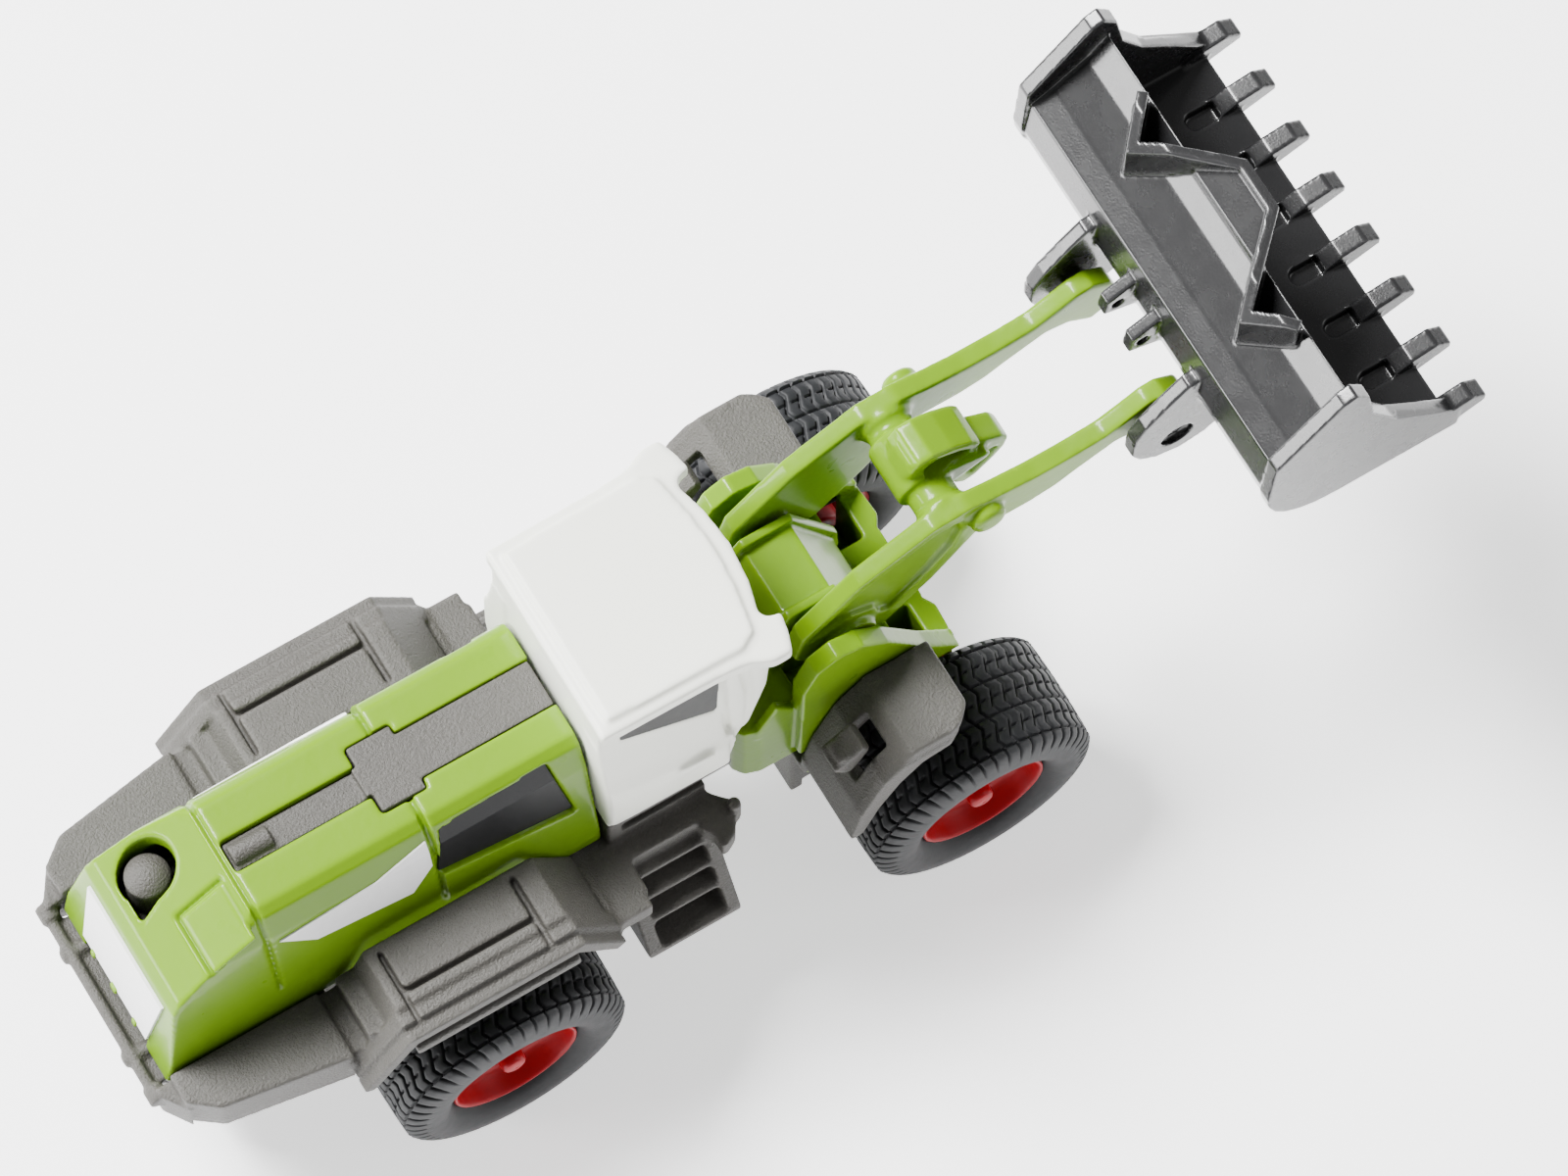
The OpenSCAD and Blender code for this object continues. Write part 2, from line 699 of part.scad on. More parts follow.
module bucket() {
    color([0.25, 0.25, 0.26]) pin_frame() difference() {
        union() {
            difference() {
                side_plate(-side_wall + 0.4, side_wall - 0.4) bucket_outer();
                side_plate(-side_wall + 1.2, side_wall - 1.2) bucket_inner();
                side_plate(-side_wall, side_wall)
                    polygon([[lip_x, 30], [lip_x, lip_z - 2], [edge_x + 1, floor_z + wall + 0.4],
                             [edge_x + 1, 31]]);
            }
            both_sides() side_plate(side_wall - 1.2, side_wall) cheek_outline();
            for (i = [0:teeth - 1]) tooth(tooth_y(i));
            both_sides() ear();
            lugs();
            spill_guard();
        }
        for (i = [1:teeth - 2]) translate([0, tooth_y(i), 0]) tooth_slot();
        cross_bar(0, 0, bucket_pin_d + 2 * play, -9, 9);
        both_sides() cross_bar(0, 0, 2.5, ear_out - 0.55, ear_out + 1);
        both_sides() cross_bar(0, 6.4, 0.9, 0, 3);
    }
}

module tooth_slot() {
    r = tooth_w / 2 - 0.05;
    translate([edge_x - 3.4, 0, floor_z + 0.8]) cylinder(r = r, h = 3, $fn = 24);
    block([edge_x - 3.4, 0.02 - r, floor_z + 0.8], [edge_x - 1.6, r - 0.02, floor_z + 4]);
}

// ---- pins, axles and wheels ----

module steering_pin() {
    color("silver") body_frame() translate([steer_x, 0, 7.2]) {
        cylinder(d = steer_pin_d, h = 12, $fn = fine);
        translate([0, 0, -0.4]) cylinder(d = steer_pin_d + 1.4, h = 0.8 - eps, $fn = fine);
    }
}

module chassis_rivets() {
    color("silver") body_frame() {
        translate([-12, 0, 5.6]) cylinder(r = 1.2, h = 3.4, $fn = fine);
        translate([-12, 0, 5.5]) cylinder(r = 1.8, h = 0.5, $fn = fine);
    }
}

module axle(x) {
    color("silver") translate([x, 0, 0]) cross_bar(0, axle_z, axle_d, -hub_out + 1.4, hub_out - 1.4);
}

module rear_axle() {
    axle(rear_x);
}

module front_axle() {
    axle(front_x);
}

// Wheel parts are drawn around z and laid on their side, outer face up
module wheel_place(x, side) {
    translate([x, 0, axle_z]) rotate([side > 0 ? -90 : 90, 0, 0]) children();
}

module rim(x, side) {
    r = rim_d / 2;
    color("firebrick") wheel_place(x, side) rotate_extrude($fn = 96)
        polygon([[axle_d / 2, tyre_in + 0.6], [2.4, tyre_in + 0.6], [2.4, hub_out - 5],
                 [r - 1, hub_out - 3.4], [r - 1, tyre_in + 1], [r, tyre_in + 1],
                 [r, hub_out - 0.6], [r - 0.5, hub_out - 0.3], [r - 0.9, hub_out - 0.6],
                 [r - 1.2, hub_out - 2], [1.6, hub_out - 2.2], [1.1, hub_out - 1.8],
                 [1, hub_out - 0.6], [0.7, hub_out - 0.3], [0, hub_out - 0.3],
                 [0, hub_out - 1.4], [axle_d / 2, hub_out - 1.4]]);
}

module tyre(x, side) {
    r = tyre_d / 2;
    o = over_tyres / 2;
    color([0.1, 0.1, 0.1]) wheel_place(x, side) rotate_extrude($fn = 96)
        polygon([[rim_d / 2, tyre_in + 1], [rim_d / 2 + 0.6, tyre_in + 0.4],
                 [r - 2.2, tyre_in], [r - 0.7, tyre_in + 0.6], [r, tyre_in + 1.7],
                 [r, o - 1.7], [r - 0.7, o - 0.6], [r - 2.2, o], [rim_d / 2 + 0.7, o - 0.5],
                 [rim_d / 2, o - 1.1]]);
}

module front_left_rim() {
    rim(front_x, 1);
}

module front_right_rim() {
    rim(front_x, -1);
}

module rear_left_rim() {
    rim(rear_x, 1);
}

module rear_right_rim() {
    rim(rear_x, -1);
}

module front_left_tyre() {
    tyre(front_x, 1);
}

module front_right_tyre() {
    tyre(front_x, -1);
}

module rear_left_tyre() {
    tyre(rear_x, 1);
}

module rear_right_tyre() {
    tyre(rear_x, -1);
}

rear_chassis();
hood();
hood_insert();
rear_panel();
side_grille_left();
side_grille_right();
side_stripe_left();
side_stripe_right();
cab_shell();
cab_glazing();
operator_seat();
front_frame();
front_mudguards();
loader_arms();
bucket();
bucket_pins();
lift_pin();
steering_pin();
chassis_rivets();
front_axle();
rear_axle();
front_left_rim();
front_right_rim();
rear_left_rim();
rear_right_rim();
front_left_tyre();
front_right_tyre();
rear_left_tyre();
rear_right_tyre();
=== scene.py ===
import json
import math

import bmesh
import bpy
from mathutils import Matrix, Vector


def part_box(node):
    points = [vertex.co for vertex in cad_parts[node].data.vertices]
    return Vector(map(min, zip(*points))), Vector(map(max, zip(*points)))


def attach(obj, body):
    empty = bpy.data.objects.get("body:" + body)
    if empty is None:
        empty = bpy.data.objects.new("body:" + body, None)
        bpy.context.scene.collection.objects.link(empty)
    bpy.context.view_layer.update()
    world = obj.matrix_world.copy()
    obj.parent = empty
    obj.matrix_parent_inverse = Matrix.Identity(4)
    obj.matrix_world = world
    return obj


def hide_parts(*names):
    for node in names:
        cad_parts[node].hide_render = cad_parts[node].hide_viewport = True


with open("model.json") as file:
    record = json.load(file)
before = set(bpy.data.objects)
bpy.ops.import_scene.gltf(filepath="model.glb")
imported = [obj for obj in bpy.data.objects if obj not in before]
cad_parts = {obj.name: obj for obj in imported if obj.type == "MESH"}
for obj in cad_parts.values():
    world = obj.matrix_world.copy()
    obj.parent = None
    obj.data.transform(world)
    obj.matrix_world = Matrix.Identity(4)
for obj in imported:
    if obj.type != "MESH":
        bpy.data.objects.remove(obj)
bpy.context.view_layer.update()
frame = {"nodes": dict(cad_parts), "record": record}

mm = 0.001
rearX = sum(v.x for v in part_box("rear_axle")) / 2      # x = 0 of every piece below is the rear axle


# shader maths: a wrapped output socket, so that formulas read as formulas
class Value:
    def __init__(self, shader, socket):
        self.shader = shader
        self.socket = socket

    def calc(self, operation, *terms, clamp=False):
        return self.shader.node("ShaderNodeMath", {"operation": operation, "use_clamp": clamp},
                                dict(enumerate(terms)))

    def __add__(self, other):
        return self.calc("ADD", self, other)

    __radd__ = __add__

    def __sub__(self, other):
        return self.calc("SUBTRACT", self, other)

    def __rsub__(self, other):
        return self.calc("SUBTRACT", other, self)

    def __mul__(self, other):
        return self.calc("MULTIPLY", self, other)

    __rmul__ = __mul__

    def clamped(self):
        return self.calc("ADD", self, 0.0, clamp=True)


class Shader:
    def __init__(self, name, **fixed):
        self.material = bpy.data.materials.new(name)
        self.material.use_nodes = True
        self.tree = self.material.node_tree
        self.tree.nodes.clear()
        out = self.tree.nodes.new("ShaderNodeOutputMaterial")
        self.bsdf = self.tree.nodes.new("ShaderNodeBsdfPrincipled")
        self.tree.links.new(self.bsdf.outputs[0], out.inputs["Surface"])
        for socket, value in fixed.items():
            self.bsdf.inputs[socket.replace("_", " ")].default_value = value

    # any node: its type, then its settings, then what its sockets hold or link to
    def node(self, kind, settings=None, inputs=None, output=0):
        made = self.tree.nodes.new(kind)
        for key, value in (settings or {}).items():
            setattr(made, key, value)
        for key, value in (inputs or {}).items():
            if isinstance(value, Value):
                self.tree.links.new(value.socket, made.inputs[key])
            else:
                made.inputs[key].default_value = value
        return Value(self, made.outputs[output])

    def place(self):
        # object coordinates counted in millimetres
        coords = self.node("ShaderNodeTexCoord", output="Object")
        return self.node("ShaderNodeVectorMath", {"operation": "SCALE"}, {0: coords, "Scale": 1000.0})

    def noise(self, where, scale, detail=3.0, rough=0.5):
        return self.node("ShaderNodeTexNoise", None,
                         {"Vector": where, "Scale": scale, "Detail": detail, "Roughness": rough})

    def mix(self, factor, first, second):
        return self.node("ShaderNodeMix", {"data_type": "RGBA"},
                         {0: factor, 6: first, 7: second}, output=2)

    def pointed(self, low, high):
        # 0 in hollows, 1 on edges
        point = self.node("ShaderNodeNewGeometry", output="Pointiness")
        return self.node("ShaderNodeMapRange", None,
                         {"Value": point, "From Min": low, "From Max": high})

    def bump(self, height, distance):
        return self.node("ShaderNodeBump", None, {"Height": height, "Distance": distance, "Strength": 1.0})

    def feed(self, **links):
        for socket, value in links.items():
            self.tree.links.new(value.socket, self.bsdf.inputs[socket.replace("_", " ")])
        return self.material


def rgb(red, green, blue):
    return (red, green, blue, 1.0)


# enamel colours: paint, a lighter random tone, and a darker green laid as painted shade in hollows and
# creases
enamel = {"paint": rgb(0.145, 0.285, 0.001), "crease_shade": rgb(0.06, 0.135, 0.0005),
          "thin": rgb(0.19, 0.335, 0.006)}


def makeEnamel():
    s = Shader("green_enamel", Coat_Weight=0.2, Coat_Roughness=0.08, Specular_IOR_Level=0.12)
    where = s.place()
    cloud = s.noise(where, 0.35, 2)
    peel = s.noise(where, 1.6, 2)
    edge = s.pointed(0.47, 0.55)
    base = s.mix(cloud * 0.25, enamel["paint"], enamel["thin"])
    # painted shade: hollows and creases darkened by pointiness
    base = s.mix((1 - edge).clamped() * 0.55, base, enamel["crease_shade"])
    rough = 0.24 + 0.12 * cloud
    return s.feed(Base_Color=base, Roughness=rough, Normal=s.bump(peel, 0.000012))


# moulding colours: plain, and a lighter one used for random tone and as a painted highlight on edges
moulding = {"plain": rgb(0.050, 0.047, 0.041), "tone_and_edge_sheen": rgb(0.10, 0.095, 0.086)}


def makeMoulding():
    s = Shader("dark_moulding", Specular_IOR_Level=0.45)
    where = s.place()
    grain = s.noise(where, 5.5, 3, 0.6)
    cloud = s.noise(where, 0.3, 3)
    edge = s.pointed(0.46, 0.56)
    base = s.mix(cloud * 0.3, moulding["plain"], moulding["tone_and_edge_sheen"])
    # painted highlight: sharp edges lightened
    base = s.mix((edge * 1.6 - 0.8).clamped() * 0.6, base, moulding["tone_and_edge_sheen"])
    rough = 0.42 + 0.2 * grain
    return s.feed(Base_Color=base, Roughness=rough, Normal=s.bump(grain, 0.00012))


# bucket colours: plain, and a lighter one laid as a painted sheen on edges
bucketFinish = {"plain": rgb(0.010, 0.010, 0.0105), "tone_and_edge_sheen": rgb(0.06, 0.06, 0.062)}


def makeBucketPlastic():
    s = Shader("bucket_plastic", Specular_IOR_Level=0.3, Coat_Weight=0.45, Coat_Roughness=0.13)
    where = s.place()
    cloud = s.noise(where, 0.5, 4, 0.6)
    fine = s.noise(where, 7.0, 2)
    edge = s.pointed(0.50, 0.58)
    # painted sheen: edges lightened
    base = s.mix(edge.clamped() * 0.5, bucketFinish["plain"], bucketFinish["tone_and_edge_sheen"])
    rough = 0.2 + 0.14 * cloud
    return s.feed(Base_Color=base, Roughness=rough, Normal=s.bump(fine, 0.00001))


def makeCabPlastic():
    s = Shader("cab_plastic", Specular_IOR_Level=0.5)
    where = s.place()
    cloud = s.noise(where, 0.25, 2)
    base = s.mix(cloud * 0.5, rgb(0.86, 0.87, 0.79), rgb(0.80, 0.81, 0.72))
    return s.feed(Base_Color=base, Roughness=0.34 + 0.1 * cloud,
                  Normal=s.bump(s.noise(where, 3.0, 2), 0.000006))


def makeRubber():
    s = Shader("tyre_rubber", Specular_IOR_Level=0.4)
    where = s.place()
    dust = s.noise(where, 1.2, 4, 0.6)
    fine = s.noise(where, 9.0, 2)
    base = s.mix(dust * 0.6, rgb(0.006, 0.0067, 0.008), rgb(0.014, 0.015, 0.0175))
    return s.feed(Base_Color=base, Roughness=0.48 + 0.2 * dust, Normal=s.bump(fine, 0.00001))


def makeRed():
    s = Shader("rim_plastic", Specular_IOR_Level=0.22)
    where = s.place()
    cloud = s.noise(where, 0.8, 2)
    base = s.mix(cloud * 0.5, rgb(0.36, 0.006, 0.012), rgb(0.26, 0.004, 0.010))
    return s.feed(Base_Color=base, Roughness=0.3 + 0.14 * cloud,
                  Normal=s.bump(s.noise(where, 4.0, 2), 0.000008))


def makePlain(name, first, second, rough, metal=0.0, shine=0.5):
    s = Shader(name, Metallic=metal, Specular_IOR_Level=shine)
    where = s.place()
    cloud = s.noise(where, 1.5, 3)
    return s.feed(Base_Color=s.mix(cloud, first, second), Roughness=rough + 0.12 * cloud,
                  Normal=s.bump(s.noise(where, 6.0, 2), 0.000006))


dullShine = 0.12     # black panes and prints mirror little of the floor
finishes = {
    "green_paint": makeEnamel(),
    "dark_plastic": makeMoulding(),
    "bucket_plastic": makeBucketPlastic(),
    "cab_plastic": makeCabPlastic(),
    "tyre_rubber": makeRubber(),
    "rim_plastic": makeRed(),
    "smoked_glazing": makePlain("smoked_glazing", rgb(0.012, 0.012, 0.013), rgb(0.02, 0.02, 0.02),
                                0.25, shine=dullShine),
    "white_print": makePlain("white_print", rgb(0.86, 0.86, 0.86), rgb(0.78, 0.78, 0.78), 0.28),
    "black_print": makePlain("black_print", rgb(0.008, 0.008, 0.009), rgb(0.014, 0.014, 0.015),
                             0.28, shine=dullShine),
    "steel": makePlain("bright_steel", rgb(0.55, 0.55, 0.56), rgb(0.42, 0.42, 0.43), 0.25, 1.0),
}
print("finishes made")

slots = {p["node"]: p["material_slot"] for p in frame["record"]["subparts"]}
for name, obj in frame["nodes"].items():
    obj.data.materials.clear()
    obj.data.materials.append(finishes[slots[name]])


# CAD pieces that stay: cast and moulded edges are eased with modifiers
eased = {"hood_insert": (0.12, 4), "front_frame": (0.13, 7), "bucket": (0.12, 3)}     # voxel, passes


def ease(obj, voxel, passes):
    remesh = obj.modifiers.new("skin", "REMESH")
    remesh.mode = "VOXEL"
    remesh.voxel_size = voxel * mm
    remesh.use_smooth_shade = True
    smooth = obj.modifiers.new("ease", "SMOOTH")
    smooth.factor = 0.5
    smooth.iterations = passes


for name, (voxel, passes) in eased.items():
    ease(frame["nodes"][name], voxel, passes)
print("edges eased")


def meshFrom(name, points, faces, finish):
    mesh = bpy.data.meshes.new(name)
    mesh.from_pydata([Vector(p) * mm for p in points], [], faces)
    mesh.polygons.foreach_set("use_smooth", [True] * len(mesh.polygons))
    mesh.materials.append(finishes[finish])
    mesh.update()
    return mesh


# rings of a closed profile (radius, offset along the axle), turned round the axle
def turned(rings):
    points, faces = [], []
    rows, columns = len(rings), len(rings[0])
    for ring in rings:
        points.extend(ring)
    for i in range(rows):
        j = (i + 1) % rows
        for k in range(columns):
            n = (k + 1) % columns
            faces.append((i * columns + k, i * columns + n, j * columns + n, j * columns + k))
    return points, faces


barSides = 40


# closed prisms and bars gathered in one mesh; a voxel skin then makes one casting of them
class Solid:
    def __init__(self):
        self.points = []
        self.faces = []

    def rings(self, loops):
        start, count = len(self.points), len(loops[0])
        for loop in loops:
            self.points.extend(loop)
        for i in range(len(loops) - 1):
            for k in range(count):
                n = (k + 1) % count
                a, b = start + i * count, start + (i + 1) * count
                self.faces.append((a + k, a + n, b + n, b + k))
        last = start + (len(loops) - 1) * count
        self.faces.append(tuple(range(start, start + count))[::-1])
        self.faces.append(tuple(range(last, last + count)))
        return self

    # outline square to y is (x, z), square to x is (y, z), square to z is (x, y)
    def prism(self, axis, low, high, outline):
        def at(level):
            if axis == "y":
                return [(a, level, b) for a, b in outline]
            if axis == "x":
                return [(level, a, b) for a, b in outline]
            return [(a, b, level) for a, b in outline]
        return self.rings([at(low), at(high)])

    def pair(self, low, high, outline):
        self.prism("y", low, high, outline)
        return self.prism("y", -high, -low, outline)

    # the same, from a distance low to a distance high out from the middle, on one side
    def flank(self, side, low, high, outline):
        return self.prism("y", *sorted((side * low, side * high)), outline)

    # square to x or z, with the outline's distances from the middle turned to one side
    def across(self, axis, side, low, high, outline):
        flipped = [(side * a, b) if axis == "x" else (a, side * b) for a, b in outline]
        return self.prism(axis, low, high, flipped)

    def bar(self, x, z, d, low, high):
        ring = [(x + d / 2 * math.cos(k * math.tau / barSides), z + d / 2 * math.sin(k * math.tau / barSides))
                for k in range(barSides)]
        return self.prism("y", low, high, ring)


# the shape of a CAD node, from the rear axle, ready for finer work
def nodeSolid(node):
    solid = Solid()
    mesh = frame["nodes"][node].data
    solid.points = [((v.co.x - rearX) / mm, v.co.y / mm, v.co.z / mm) for v in mesh.vertices]
    solid.faces = [tuple(f.vertices) for f in mesh.polygons]
    return solid


def addModifier(obj, kind, **settings):
    made = obj.modifiers.new(kind.lower(), kind)
    for key, value in settings.items():
        setattr(made, key, value)


def baked(obj):
    view = bpy.context.evaluated_depsgraph_get()
    mesh = bpy.data.meshes.new_from_object(obj.evaluated_get(view))
    obj.modifiers.clear()
    obj.data = mesh
    return obj


def skinned(solid, voxel):
    mesh = bpy.data.meshes.new("solid")
    mesh.from_pydata([Vector(p) * mm for p in solid.points], [], solid.faces)
    obj = bpy.data.objects.new("solid", mesh)
    bpy.context.collection.objects.link(obj)
    addModifier(obj, "REMESH", mode="VOXEL", voxel_size=voxel * mm)
    return baked(obj)


def combine(obj, solid, voxel, operation):
    tool = skinned(solid, voxel)
    addModifier(obj, "BOOLEAN", operation=operation, solver="MANIFOLD", object=tool)
    baked(obj)
    bpy.data.objects.remove(tool)


def cast(name, solid, cuts, voxel, passes, finish, extra=None):
    obj = skinned(solid, voxel)
    if cuts:
        combine(obj, cuts, voxel, "DIFFERENCE")
    if extra:
        combine(obj, extra, voxel, "UNION")
    addModifier(obj, "REMESH", mode="VOXEL", voxel_size=voxel * mm)
    addModifier(obj, "SMOOTH", factor=0.5, iterations=passes)
    baked(obj)
    mesh = obj.data
    bpy.data.objects.remove(obj)
    mesh.name = name
    mesh.polygons.foreach_set("use_smooth", [True] * len(mesh.polygons))
    mesh.materials.clear()
    mesh.materials.append(finishes[finish])
    return mesh


# loader arms, measured from the lift pivot: rounded rails, sunk webs, tube, drum and bell crank
arms = {"voxel": 0.12, "passes": 22, "inner": 3.9, "outer": 5.4, "sunk": 0.45, "clear": 0.2,
        "pivot": (33.2, 26.6),
        "outline": [(-4.3, 0.4), (-3.6, 3.3), (1, 7.8), (6.8, 10.8), (9.6, 11.1), (12, 10.6),
                    (15, 10.2), (17.4, 10.2), (20.5, 10.5), (22.3, 11.4), (23.9, 12.3), (25.2, 12.4),
                    (26.8, 11.2), (27.3, 9.6), (27.0, 7.4), (25.3, 6.3), (23.3, 8), (21.5, 8.4),
                    (19.6, 7.6), (18.3, 7.1), (16.7, 6.3), (14.5, 5.9), (10.4, 6), (9, 4.2),
                    (7, 1.7), (3.2, -2), (0.6, -2.6), (-3, -1.6)],
        "web": [(-3.2, 2.4), (1.3, 6.7), (6.9, 9.6), (8.8, 9.6), (9.0, 8.2), (8.2, 5.9), (6.2, 3.2),
                (3.4, 0.2), (2.6, 0.6), (2.2, 2.1), (0.2, 3.0), (-2.0, 2.2)],
        "lobe": (-1.5, 1.8, [(7.0, 10.2), (7.2, 12.0), (7.9, 13.0), (9, 13.2), (10.6, 12.7),
                             (12.2, 11.7), (12.9, 10.8), (12.7, 9.9), (11.6, 9.2), (10, 9.2)]),
        "crank": (-1.1, 1.1, [(6.6, 10.0), (7.4, 12.6), (9.4, 12.6), (12.6, 10.4), (15, 8.6),
                              (15.5, 7.6), (15.2, 6.4), (14.3, 5.2), (13, 3.9), (11.9, 3.6),
                              (11.2, 4.4), (10.6, 6.6)]),
        "pocket": (-2.0, -0.7, [(8.1, 10.8), (8.6, 11.9), (9.4, 12.1), (11.2, 11.2), (11.9, 10.5),
                                (11.2, 10.2)]),
        "rib": (-1.9, -1.3, [(6.6, 8.0), (6.8, 10.6), (9.4, 10.4), (13.2, 9.4), (13.6, 8.6),
                             (10.4, 7.2)]),
        "lobeCut": (1.0, 2.4, [(9.4, 9.7), (11.2, 10.9), (13.0, 9.6), (12.2, 8.9)]),
        "crankCut": (-1.3, -0.75, [(12.0, 5.2), (13.2, 7.4), (14.6, 7.2), (13.6, 5.6), (12.6, 4.6)]),
        # bosses on the outer faces: x, z, diameter, from, to
        "bosses": [(0, 0, 4.2, 5.3, 6.0), (25.3, 8.6, 4.2, 5.3, 5.8),
                   (10.8, 9.0, 2.7, 5.3, 6.2), (10.8, 9.0, 2.1, 6.1, 6.4)],
        "tube": (8.4, 9), "tubeSteps": [(3.5, -4, 4), (4.1, -4, -3.5), (4.1, 3.4, 4), (4.5, -1.9, 2.5)]}


def addArms():
    a = arms
    solid = Solid()
    solid.pair(a["inner"], a["outer"], a["outline"])
    for side in (-1, 1):
        for x, z, d, low, high in a["bosses"]:
            solid.bar(x, z, d, *sorted((side * low, side * high)))
    for d, low, high in a["tubeSteps"]:
        solid.bar(*a["tube"], d, low, high)
    solid.prism("y", *a["crank"])
    solid.prism("y", *a["lobe"])
    solid.prism("y", *a["rib"])
    cuts = Solid()
    cuts.pair(a["outer"] - a["sunk"], a["outer"] + a["clear"], a["web"])
    cuts.prism("y", *a["pocket"])
    cuts.prism("y", *a["lobeCut"])
    cuts.prism("y", *a["crankCut"])
    mesh = cast("loader_arms_cast", solid, cuts, a["voxel"], a["passes"], "green_paint")
    x, z = a["pivot"]
    addPiece("loader_arms_cast", mesh, "arms", "green_paint", "loader_arms",
             spot=(rearX + x * mm, 0, z * mm))


# tyres: zig-zag grooves along the axle, short cuts at their corners, plain sidewalls
tyre = {"pitches": 50, "zig": 0.3, "half": 1.25, "corners": 7, "depth": 0.36, "cut": 0.27,
        "crown": 9.05, "bulge": 0.11,
        "flank": [(3.98, 8.84), (4.18, 8.70), (4.36, 8.48), (4.5, 8.22), (4.6, 7.95), (4.69, 7.6),
                  (4.77, 7.15), (4.79, 6.7), (4.74, 6.3), (4.62, 5.95), (4.4, 5.6), (4.1, 5.3),
                  (3.72, 5.1), (3.6, 5.0)],
        "across": [(-0.17, 0, 0), (-0.115, 0.12, 0), (-0.07, 1, 1), (0.07, 1, 1), (0.115, 0.12, 1),
                   (0.17, 0, 1), (0.36, 0, 1), (0.5, 0, 1), (0.62, 0, 0)],
        "along": [(-0.16, 0), (-0.11, 0.15), (-0.06, 1), (0.06, 1), (0.11, 0.15), (0.16, 0)],
        "fade": [1, 1, 0.95, 0.8, 0.45]}


def tyreRows():
    # (offset, radius, groove depth, cut depth, whole cut?)
    rows = []
    reach = tyre["half"] * (tyre["corners"] - 1) / 2
    for i in range(tyre["corners"]):
        corner = i * tyre["half"] - reach
        for step, level in tyre["along"]:
            rows.append((corner + step, level * tyre["cut"], i % 2 == 0))
        if i < tyre["corners"] - 1:
            rows.append((corner + tyre["half"] / 2, 0, False))
    rows = [(w, tyre["crown"] - tyre["bulge"] * (w / reach) ** 2, tyre["depth"], c, whole)
            for w, c, whole in rows]
    fades = tyre["fade"] + [0] * len(tyre["flank"])
    side = [(w, r, tyre["depth"] * f, 0, False) for (w, r), f in zip(tyre["flank"], fades)]
    far = [(-w, r, g, c, whole) for w, r, g, c, whole in side]
    return rows + side + far[::-1]


def makeTyre():
    rows = tyreRows()
    rings = []
    for i, (w, r, groove, cut, whole) in enumerate(rows):
        before, after = rows[i - 1], rows[(i + 1) % len(rows)]
        run = Vector((after[0] - before[0], after[1] - before[1])).normalized()
        inward = Vector((run.y, -run.x))
        phase = (w / tyre["half"] + 0.5) % 2
        swing = (abs(phase - 1) - 0.5) * 2 * tyre["zig"] if abs(w) < 3.9 else 0
        if 3.7 < abs(w) < 4.3:
            swing = -tyre["zig"] * (4.3 - abs(w)) / 0.6
        ring = []
        for k in range(tyre["pitches"]):
            for f, level, half in tyre["across"]:
                deep = max(groove * level, cut * (1 if whole else half))
                radius = r + inward.y * deep
                offset = w + inward.x * deep
                angle = ((k + f) / tyre["pitches"]) * math.tau + swing / tyre["crown"]
                ring.append((radius * math.cos(angle), offset, radius * math.sin(angle)))
        rings.append(ring)
    return meshFrom("tyre", *turned(rings), "tyre_rubber")


# rims: thin lip, dished face, round-ended hub stub
rim = {"steps": 120,
       "outline": [(1.05, -4.2), (2.3, -4.2), (2.42, -4.1), (2.42, -0.8), (4.0, 0.8), (4.0, -3.7),
                   (4.1, -3.8), (4.98, -3.8), (5.0, -3.7), (5.0, 3.75), (4.98, 3.9), (4.92, 3.99),
                   (4.82, 4.0), (4.74, 3.93), (4.68, 3.75), (4.6, 3.3), (4.42, 2.6), (4.3, 2.3),
                   (4.1, 2.1), (3.7, 1.98), (2.0, 1.86), (1.3, 1.88), (1.1, 1.97), (1.0, 2.2),
                   (0.97, 2.6), (0.95, 3.5), (0.9, 3.75), (0.78, 3.9), (0.58, 3.98), (0.3, 4.0),
                   (0.02, 4.0), (0.02, 2.9), (1.05, 2.9)]}


def makeRim():
    rings = []
    for r, w in rim["outline"]:
        ring = []
        for k in range(rim["steps"]):
            angle = k / rim["steps"] * math.tau
            ring.append((r * math.cos(angle), w, r * math.sin(angle)))
        rings.append(ring)
    return meshFrom("rim", *turned(rings), "rim_plastic")


def addPiece(name, mesh, body, slotName, *nodes, spot=(0, 0, 0), turn=0.0):
    obj = bpy.data.objects.new(name, mesh)
    bpy.context.collection.objects.link(obj)
    obj.location = spot
    obj.rotation_euler = (0, 0, turn)
    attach(obj, body)
    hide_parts(*nodes)


def addWheels():
    tyreMesh, rimMesh = makeTyre(), makeRim()
    for end in ("front", "rear"):
        for hand, side in (("left", 1), ("right", -1)):
            low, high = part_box(f"{end}_{hand}_tyre")
            middle = (low + high) / 2
            parts = (("tyre", tyreMesh, "tyre_rubber"), ("rim", rimMesh, "rim_plastic"))
            for kind, mesh, slotName in parts:
                addPiece(f"{end}_{hand}_{kind}_moulded", mesh, f"{end}_wheels", slotName,
                         f"{end}_{hand}_{kind}", spot=middle, turn=0.0 if side > 0 else math.pi)


